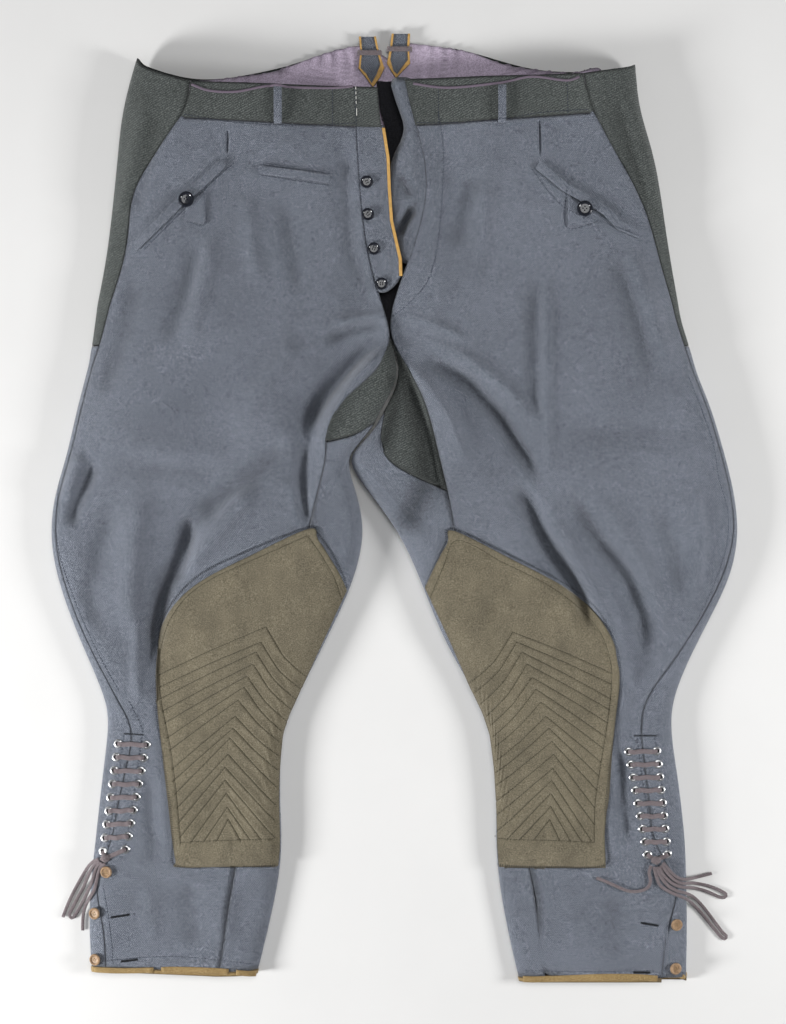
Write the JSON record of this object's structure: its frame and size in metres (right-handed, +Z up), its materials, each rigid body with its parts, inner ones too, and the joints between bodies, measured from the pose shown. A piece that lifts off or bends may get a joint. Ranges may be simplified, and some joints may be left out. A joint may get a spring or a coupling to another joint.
{
  "type": "riding breeches",
  "caption": "Woollen riding breeches laid flat, with wide thighs, a buttoned fly, quilted suede knee patches and laced calf openings.",
  "frame": {"origin": "middle of the garment's width and length, on the surface that it lies on", "axes": "+Z up from the surface, +Y from the hems to the waist, +X to the right as it is seen from above"},
  "size_m": [0.7195, 0.9974, 0.0393],
  "materials": {
    "wool": "matte heathered wool twill",
    "twill": "matte ribbed twill",
    "suede": "napped suede",
    "lining": "soft cotton sateen",
    "leather": "smooth leather edging",
    "binding": "tape binding",
    "lace": "woven flat lace",
    "black_button": "polished",
    "horn_button": "satin, horn-like"
  },
  "bodies": {
    "root": {"back_l": "wool", "back_r": "wool", "belt_loop_l": "wool", "belt_loop_r": "wool", "fly_button_1": "black_button", "fly_button_2": "black_button", "fly_button_3": "black_button", "fly_button_4": "black_button", "fly_facing": "wool", "fly_stand": "wool", "fly_trim": "leather", "front_l": "wool", "front_r": "wool", "hem_binding_l": "binding", "hem_binding_r": "binding", "knee_patch_l": "suede", "knee_patch_r": "suede", "lace_end_l1": "lace", "lace_end_l2": "lace", "lace_end_r1": "lace", "lace_end_r2": "lace", "lace_knot_l": "lace", "lace_knot_r": "lace", "lace_loop_l": "lace", "lace_loop_r1": "lace", "lace_loop_r2": "lace", "lacing_l": "lace", "lacing_r": "lace", "leg_button_l1": "horn_button", "leg_button_l2": "horn_button", "leg_button_l3": "horn_button", "leg_button_r1": "horn_button", "leg_button_r2": "horn_button", "lining_l": "lining", "lining_r": "lining", "pocket_button_l": "black_button", "pocket_button_r": "black_button", "pocket_tab_l": "wool", "pocket_tab_r": "wool", "pocket_welt_l": "wool", "pocket_welt_r": "wool", "seat_l": "twill", "seat_r": "twill", "tab_edge_l": "leather", "tab_edge_r": "leather", "tab_keeper_l": "lining", "tab_keeper_r": "lining", "tab_l": "wool", "tab_r": "wool", "waistband_l": "twill", "waistband_r": "twill", "watch_welt": "wool"}
  },
  "joints": []
}
